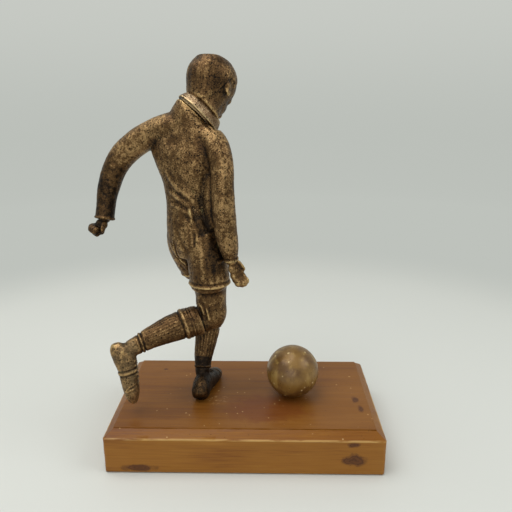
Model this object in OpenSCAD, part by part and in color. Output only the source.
// Football trophy: a cast figure of a player about to kick a ball, on a bevelled wooden base.
// The origin is the centre of the underside, +Z is up, +X runs along the base's long side.

/* [Base] */
// Length of the wooden base
base_length = 175; // [165:1:200]
// Depth of the wooden base, front to back
base_depth = 100; // [95:1:120]
// Height of the base with its felt
base_height = 29.2; // [27:0.2:40]
// Width of the bevel round the top edge
bevel_width = 5.6; // [3:0.2:8]
// Drop of the bevel from the raised field to the edge
bevel_drop = 4.2; // [2:0.2:6]
// Step between the raised field and the bevel
quirk_height = 0.8; // [0.4:0.1:1.2]
// Radius of the vertical corners
corner_radius = 1.6; // [0.5:0.1:3]
// Thickness of the felt under the base
felt_thickness = 0.8; // [0.6:0.1:1.5]
// How far the felt stops short of the base's edges
felt_margin = 3; // [2:0.5:6]

/* [Figure] */
// Height of the figure above the base
figure_height = 222; // [210:1:240]
// Place of the figure's standing foot along the base
figure_x = -27; // [-32:1:-22]
// Place of the figure's standing foot across the base
figure_y = 0; // [-4:1:6]
// Diameter of the spigots that join the limbs
spigot_d = 5; // [4:0.5:6]

/* [Ball] */
// Diameter of the ball
ball_d = 35.4; // [32:0.2:38]
// Place of the ball along the base
ball_x = 31.5; // [25:0.5:45]
// Place of the ball across the base
ball_y = -2.7; // [-10:0.1:10]

/* [Fixings] */
// Diameter of the two studs
stud_d = 4; // [3:0.5:5]
// Diameter of the clearance holes through the board
clearance_d = 4.6; // [4:0.1:6]
// Diameter of the counterbores in the underside
counterbore_d = 14; // [12:0.5:18]
// Depth of the counterbores
counterbore_depth = 8; // [6:0.5:10]
// Diameter of the washers
washer_d = 11; // [9:0.5:12]
// Thickness of the washers
washer_thickness = 1; // [0.8:0.1:1.6]
// Width of the nuts across their flats
nut_flats = 7; // [6:0.5:9]
// Thickness of the nuts
nut_thickness = 3.2; // [2.4:0.2:4]
// Diameter of the locating peg under the toe
peg_d = 2.5; // [2:0.5:3]

/* [Hidden] */

$fn = 64;
design_height = 222;          // the figure's key sections below are laid out at this height
k = figure_height / design_height;
ring_sides = 20;              // sides of every lofted ring
ring_steps = 3;               // rings from one key section to the next
peg_depth = 6;                // how far the peg stands into the board
stud_into_figure = 12;
stud_into_ball = 14;
stud_tail = 1.2;              // thread showing below a nut
stud_offset = [-3.4, -8];     // the figure's stud, from the standing foot's centre
peg_offset = [1.4, 12];       // the locating peg, from the same centre
ball_flat = 0.3;              // how far the ball beds on its small flat
spigot_length = 7;
waist_spigot_d = 12;
wrist_spigot_d = 3;
neck_spigot_d = 10;
neck_spigot_depth = 9;
collar_r = 14.2;
collar_floor = 2;             // thickness of the collar under the neck
collar_rise = 4.4;            // height of the collar's band above its floor
collar_step = 0.4;            // ledge at the foot of the collar's band
collar_taper = 1.2;           // how far the band leans in at its top, and its thickness there
beyond = 60;                  // reach of the blocks that trim the castings
edge_top = base_height - quirk_height - bevel_drop;   // top of the board's upright edges
quirk_ledge = 0.2;            // flat ledge at the foot of the raised field
seat_z = felt_thickness + counterbore_depth;   // the washers' seats in the counterbores

// The figure's own directions, seen from above
body_side = [0.87, -0.5, 0];  // towards the player's right
hip_side = [0.5, -0.87, 0];   // the hips are turned further into the kick
collar_axis = [0.68, 0.28, 0.68];
collar_centre = [-1.4, 4.6, 187];

// Key sections of the castings: x, y, z of the centre, half width, half depth
torso_keys = [
    [-8.5, 0, 131, 15.5, 11.5], [-8.8, 0.2, 138, 15.6, 11.5], [-9, 0.6, 148, 18, 12.2],
    [-10, 1.4, 157, 21.5, 12.8], [-11, 2.6, 165, 24, 12.4], [-10, 3.6, 173, 23, 11.4],
    [-8, 4, 181, 18, 10.6], [-6, 4.4, 190, 12.6, 10], [-3.4, 4.6, 199, 8.6, 8]];
left_arm_keys = [
    [-7, 3, 179, 11.5, 10], [-19, 7, 178.4, 9.8, 9.4], [-31, 11, 175, 8.8, 8.6],
    [-42.1, 13, 169.1, 8.5, 8.2], [-51.1, 14, 161.8, 8.3, 8.2], [-58, 14, 152, 7.7, 7.6],
    [-62.2, 13, 140.6, 7.1, 7], [-64.2, 11.2, 130, 6.3, 6.2], [-65.4, 8.6, 120.5, 6, 6],
    [-66.4, 7.8, 117, 4.6, 4], [-69, 7, 113.8, 5.4, 4], [-71, 6.6, 110.8, 5.2, 4],
    [-72.2, 6.4, 108.4, 2.8, 2.2]];
right_arm_keys = [
    [0, 0, 176, 9.4, 9.4], [7.6, -5.6, 172, 8.2, 8.4], [12, -9.8, 165.2, 7.4, 7.6],
    [13.8, -12.6, 157, 6.9, 7], [14.2, -14.8, 146, 6.9, 7], [14.6, -16, 134, 7.1, 7.1],
    [15.5, -16.2, 122, 7, 7], [17, -15, 110, 6.3, 6.3], [18.8, -13.6, 99, 3.9, 3.9],
    [20.2, -12.6, 94, 4, 3.4], [22, -11.8, 89, 4.9, 3.6], [23.2, -11.2, 84.6, 3, 2.4]];
shorts_keys = [
    [-4.2, -0.6, 99, 15.6, 12], [-5.6, -0.4, 106, 18.2, 14], [-6.6, -0.2, 115, 18, 13.8],
    [-7.6, 0, 124, 16.6, 12.6], [-8.5, 0, 131, 15.5, 11.5]];
right_leg_keys = [
    [-1, -4, 114, 12, 12], [2, -5.4, 102, 12.8, 12.8], [3.4, -6, 91, 13, 12.8],
    [4.2, -6, 82.4, 13, 13], [4.5, -5.4, 79, 10.2, 10.4], [4.3, -4.8, 68, 9.6, 10],
    [4.4, -5, 59.5, 9.2, 9.6], [3.6, -5.2, 53.4, 7, 7.6], [2.8, -5.2, 50.6, 3, 3.4]];
right_calf_keys = [
    [3.4, -4.8, 57.2, 7.4, 8], [-3, -6.4, 56.4, 9.2, 9.2], [-11.5, -9.2, 55.2, 9.8, 9.7],
    [-21.5, -13.5, 53, 8.7, 8.8], [-33, -18.5, 49.2, 6.8, 7], [-41.5, -22.5, 45.6, 5.8, 6],
    [-49.6, -25.4, 42.4, 4.4, 4.6]];
left_leg_keys = [
    [-12, 3, 114, 11.5, 12], [-11.4, 6, 104, 12, 12.4], [-8.2, 9, 94, 11.4, 12],
    [-4.6, 11, 87, 11, 11.6], [-3, 11.6, 84, 8.8, 9], [-0.6, 14, 70, 8.2, 8.4],
    [1.6, 14.2, 57, 8.6, 8.6], [0.6, 12, 47, 8.6, 8.4], [-1, 7.5, 36, 7.8, 7.6],
    [-2.8, 2.4, 25.6, 6.4, 6.2], [-3.2, -3.4, 14.4, 4.6, 4.8]];
right_foot_keys = [
    [-54.6, -26, 48.4, 2, 2.6], [-53.4, -26, 45, 4.6, 5.6], [-49.4, -26.2, 39, 5.2, 7.6],
    [-47.8, -26.4, 31, 5.2, 6.6], [-46.8, -26.8, 22, 5.8, 5.8], [-45.8, -27, 13, 5, 4.6],
    [-45, -27, 7, 2.6, 2.4]];
left_foot_keys = [
    [-3.8, -16, 4.2, 4.4, 4.6], [-3.6, -12.8, 6.2, 6.2, 8], [-2.6, -5, 8.2, 6, 9.4],
    [-0.6, 4, 6.4, 6.2, 7.2], [1.6, 13, 4.4, 6.6, 5.4], [3.2, 20, 3, 5.2, 4.2],
    [3.8, 23.4, 2.6, 2.6, 2.8]];
head_keys = [
    [-2.4, 1.2, -24, 10.4, 10.4], [-1, 1.4, -15, 10.6, 10.8], [1.4, 0.8, -9.5, 11.4, 13],
    [2.2, 0.2, -3.5, 13.6, 15.4], [1.8, 0, 3, 14.8, 16.8], [1.2, 0, 9, 13.8, 15.8],
    [0.6, 0, 14, 10.2, 12.4], [0.4, 0, 16.6, 5, 6.4]];
head_centre = [6, 5.6, 204];
head_turn = 66;               // the way the face looks, counter-clockwise from +X
head_nod = 22;                // how far the face looks down

// The key sections where castings meet
waist = 0;
left_shoulder = 2;
right_shoulder = 1;
wrist = 8;
hip = 3;
knee = 1;
left_ankle = 9;
right_ankle = 5;

// Directions and curves
function unit(v) = v / norm(v);
function place(section) = [section[0], section[1], section[2]];
function key_at(keys, i) = keys[max(0, min(len(keys) - 1, i))];
function curve(a, b, c, d, t) =
    0.5 * (2 * b + (c - a) * t + (2 * a - 5 * b + 4 * c - d) * t * t
    + (3 * b - a - 3 * c + d) * t * t * t);
function sections(keys) = [
    for (i = [0 : len(keys) - 2], s = [0 : ring_steps - 1])
        curve(key_at(keys, i - 1), key_at(keys, i), key_at(keys, i + 1), key_at(keys, i + 2),
            s / ring_steps),
    keys[len(keys) - 1]];
function heading(rows, j) =
    unit(place(rows[min(len(rows) - 1, j + 1)]) - place(rows[max(0, j - 1)]));
function ring(section, along, side) =
    let (u = unit(side - (side * along) * along), v = cross(along, u))
    [for (a = [0 : ring_sides - 1])
        place(section) + section[3] * cos(360 * a / ring_sides) * u
        + section[4] * sin(360 * a / ring_sides) * v];

// A solid through the key sections from number first to number last; upright rings stay level
module loft(keys, side, first = 0, last = undef, upright = false) {
    rows = sections(keys);
    from = first * ring_steps;
    to = (is_undef(last) ? len(keys) - 1 : last) * ring_steps;
    rings = [for (j = [from : to]) ring(rows[j], upright ? [0, 0, 1] : heading(rows, j), side)];
    n = ring_sides;
    count = len(rings);
    skin = [for (j = [0 : count - 2], a = [0 : n - 1], half = [0, 1])
        let (b = (a + 1) % n)
        half == 0 ? [j * n + a, (j + 1) * n + a, j * n + b]
            : [j * n + b, (j + 1) * n + a, (j + 1) * n + b]];
    ends = [[for (a = [0 : n - 1]) a], [for (a = [0 : n - 1]) count * n - 1 - a]];
    polyhedron(points = [for (r = rings) each r], faces = concat(skin, ends), convexity = 6);
}

// Figure pieces are drawn at the design height, then set on the base
module on_base() {
    translate([figure_x, figure_y, base_height]) scale(k) children();
}

// Turns +Z to a direction at a place
module aim(at, direction) {
    d = unit(direction);
    translate(at) rotate([0, acos(d[2]), atan2(d[1], d[0])]) children();
}

// A round spigot from a key section back into the casting before it
module spigot(keys, index, d) {
    rows = sections(keys);
    j = index * ring_steps;
    aim(place(rows[j]), index == 0 ? [0, 0, -1] : -heading(rows, j))
        translate([0, 0, -1]) cylinder(h = spigot_length + 1, d = d, $fn = 32);
}

// Base
module centred_slab(inset, bottom, top)
    translate([inset - base_length / 2, inset - base_depth / 2, bottom])
        cube([base_length - 2 * inset, base_depth - 2 * inset, top - bottom]);

module bevelled_board()
    hull() {
        for (x = [-1, 1], y = [-1, 1])
            translate([x * (base_length / 2 - corner_radius), y * (base_depth / 2 - corner_radius),
                felt_thickness])
                cylinder(h = edge_top - felt_thickness, r = corner_radius, $fn = 32);
        centred_slab(bevel_width, felt_thickness, base_height - quirk_height);
    }

module base_board() color("sienna")
    difference() {
        union() {
            bevelled_board();
            centred_slab(bevel_width + quirk_ledge, edge_top, base_height);
        }
        for (p = [stud_foot(), [ball_x, ball_y]]) translate([p[0], p[1], 0]) {
            cylinder(h = base_height + 1, d = clearance_d);
            cylinder(h = seat_z, d = counterbore_d);
        }
        translate([peg_foot()[0], peg_foot()[1], base_height - peg_depth])
            cylinder(h = peg_depth + 1, d = peg_d);
    }

module felt_underlay() color("darkgreen")
    centred_slab(felt_margin, 0, felt_thickness);

function stud_foot() = [figure_x, figure_y] + k * stud_offset;
function peg_foot() = [figure_x, figure_y] + k * peg_offset;

module nut_shape() {
    cylinder(h = nut_thickness, d = nut_flats / cos(30), $fn = 6);
}

module washer_at(p) translate([p[0], p[1], seat_z - washer_thickness])
    difference() {
        cylinder(h = washer_thickness, d = washer_d);
        translate([0, 0, -1]) cylinder(h = washer_thickness + 2, d = stud_d);
    }

module nut_at(p) translate([p[0], p[1], seat_z - washer_thickness - nut_thickness])
    difference() {
        nut_shape();
        translate([0, 0, -1]) cylinder(h = nut_thickness + 2, d = stud_d);
    }

module stud_at(p, into) {
    bottom = seat_z - washer_thickness - nut_thickness - stud_tail;
    translate([p[0], p[1], bottom]) cylinder(h = base_height + into - bottom, d = stud_d);
}

module figure_stud() color("goldenrod") stud_at(stud_foot(), stud_into_figure);
module figure_washer() color("silver") washer_at(stud_foot());
module figure_nut() color("silver") nut_at(stud_foot());
module ball_stud() color("goldenrod") stud_at([ball_x, ball_y], stud_into_ball);
module ball_washer() color("silver") washer_at([ball_x, ball_y]);
module ball_nut() color("silver") nut_at([ball_x, ball_y]);

module locating_peg() color("goldenrod")
    translate([peg_foot()[0], peg_foot()[1], base_height - peg_depth])
        cylinder(h = peg_depth * 1.5, d = peg_d);

// Ball: a sphere with a small flat that beds on the board
module ball() color("darkkhaki")
    difference() {
        translate([ball_x, ball_y, base_height + ball_d / 2 - ball_flat]) sphere(d = ball_d, $fn = 96);
        translate([ball_x - ball_d, ball_y - ball_d, base_height - 2])
            cube([2 * ball_d, 2 * ball_d, 2]);
        translate([ball_x, ball_y, base_height - 1])
            cylinder(h = stud_into_ball + 1, d = stud_d);
    }

// Figure castings: each is butted to its neighbour and held by a brazed spigot
module at_collar() { aim(collar_centre, collar_axis) children(); }

module collar_ring() at_collar()
    rotate_extrude($fn = 48)
        polygon([[neck_spigot_d / 2, -collar_floor], [collar_r, -collar_floor],
            [collar_r - collar_step, 0], [collar_r - collar_taper, collar_rise],
            [collar_r - 2 * collar_taper, collar_rise],
            [collar_r - 2 * collar_taper - collar_step, 0], [neck_spigot_d / 2, 0]]);

module neck_spigot() at_collar()
    translate([0, 0, -neck_spigot_depth]) cylinder(h = neck_spigot_depth + 1, d = neck_spigot_d);

// Everything that lies below a level
module below(level) translate([-beyond, -beyond, level - 2 * beyond]) cube(2 * beyond);

module head() color("peru") on_base()
    union() {
        difference() {
            translate(head_centre) rotate([0, 0, head_turn]) rotate([0, head_nod, 0])
                loft(head_keys, [0, 1, 0], upright = true);
            at_collar() below(0);
            collar_ring();
        }
        neck_spigot();
    }

module collar() color("burlywood") on_base() collar_ring();

module waist_spigot() spigot(torso_keys, waist, waist_spigot_d);
module left_shoulder_spigot() spigot(left_arm_keys, left_shoulder, spigot_d);
module right_shoulder_spigot() spigot(right_arm_keys, right_shoulder, spigot_d);
module left_wrist_spigot() spigot(left_arm_keys, wrist, wrist_spigot_d);
module right_wrist_spigot() spigot(right_arm_keys, wrist, wrist_spigot_d);
module left_hip_spigot() spigot(left_leg_keys, hip, spigot_d);
module right_hip_spigot() spigot(right_leg_keys, hip, spigot_d);
module knee_spigot() spigot(right_calf_keys, knee, spigot_d);
module right_ankle_spigot() spigot(right_calf_keys, right_ankle, spigot_d);
module left_ankle_spigot() spigot(left_leg_keys, left_ankle, spigot_d);

module torso() color("darkgoldenrod") on_base()
    difference() {
        union() {
            intersection() {
                union() {
                    loft(torso_keys, body_side, upright = true);
                    loft(left_arm_keys, [0, 0, 1], 0, left_shoulder);
                    loft(right_arm_keys, [0, 1, 0], 0, right_shoulder);
                }
                at_collar() below(-collar_floor);
            }
            waist_spigot();
        }
        neck_spigot();
        loft(right_arm_keys, [0, 1, 0], right_shoulder, wrist);
        left_shoulder_spigot();
        right_shoulder_spigot();
    }

module left_arm() color("goldenrod") on_base()
    difference() {
        union() { loft(left_arm_keys, [0, 0, 1], left_shoulder, wrist); left_shoulder_spigot(); }
        left_wrist_spigot();
    }

module right_arm() color("goldenrod") on_base()
    difference() {
        union() { loft(right_arm_keys, [0, 1, 0], right_shoulder, wrist); right_shoulder_spigot(); }
        right_wrist_spigot();
    }

module left_hand() color("sienna") on_base()
    union() { loft(left_arm_keys, [0, 0, 1], wrist); left_wrist_spigot(); }

module right_hand() color("sienna") on_base()
    union() { loft(right_arm_keys, [0, 1, 0], wrist); right_wrist_spigot(); }

module shorts() color("olive") on_base()
    difference() {
        union() {
            loft(shorts_keys, body_side, upright = true);
            loft(right_leg_keys, hip_side, 0, hip);
            loft(left_leg_keys, hip_side, 0, hip);
        }
        waist_spigot();
        left_hip_spigot();
        right_hip_spigot();
        loft(right_arm_keys, [0, 1, 0], right_shoulder, wrist);
    }

module left_leg() color("peru") on_base()
    difference() {
        union() { loft(left_leg_keys, hip_side, hip, left_ankle); left_hip_spigot(); }
        left_ankle_spigot();
    }

module right_thigh() color("peru") on_base()
    difference() {
        union() { loft(right_leg_keys, hip_side, hip); right_hip_spigot(); }
        knee_spigot();
    }

// The calf is let into the back of the knee
module right_calf() color("darkgoldenrod") on_base()
    difference() {
        union() {
            difference() {
                loft(right_calf_keys, [0, 1, 0], 0, right_ankle);
                loft(right_leg_keys, hip_side, hip);
            }
            knee_spigot();
        }
        right_ankle_spigot();
    }

module right_boot() color("saddlebrown") on_base()
    union() {
        loft(right_calf_keys, [0, 1, 0], right_ankle);
        loft(right_foot_keys, [0, 1, 0]);
        right_ankle_spigot();
    }

module left_boot() color("saddlebrown") on_base()
    difference() {
        union() {
            loft(left_leg_keys, hip_side, left_ankle);
            loft(left_foot_keys, [1, 0, 0]);
            left_ankle_spigot();
        }
        below(0);
        translate([stud_offset[0], stud_offset[1], -1])
            cylinder(h = stud_into_figure / k + 1, d = stud_d / k);
        translate([peg_offset[0], peg_offset[1], -1])
            cylinder(h = peg_depth / 2 / k + 1, d = peg_d / k);
    }

base_board();
felt_underlay();
figure_stud();
figure_washer();
figure_nut();
locating_peg();
ball_stud();
ball_washer();
ball_nut();
ball();
head();
collar();
torso();
left_arm();
right_arm();
left_hand();
right_hand();
shorts();
left_leg();
left_boot();
right_thigh();
right_calf();
right_boot();
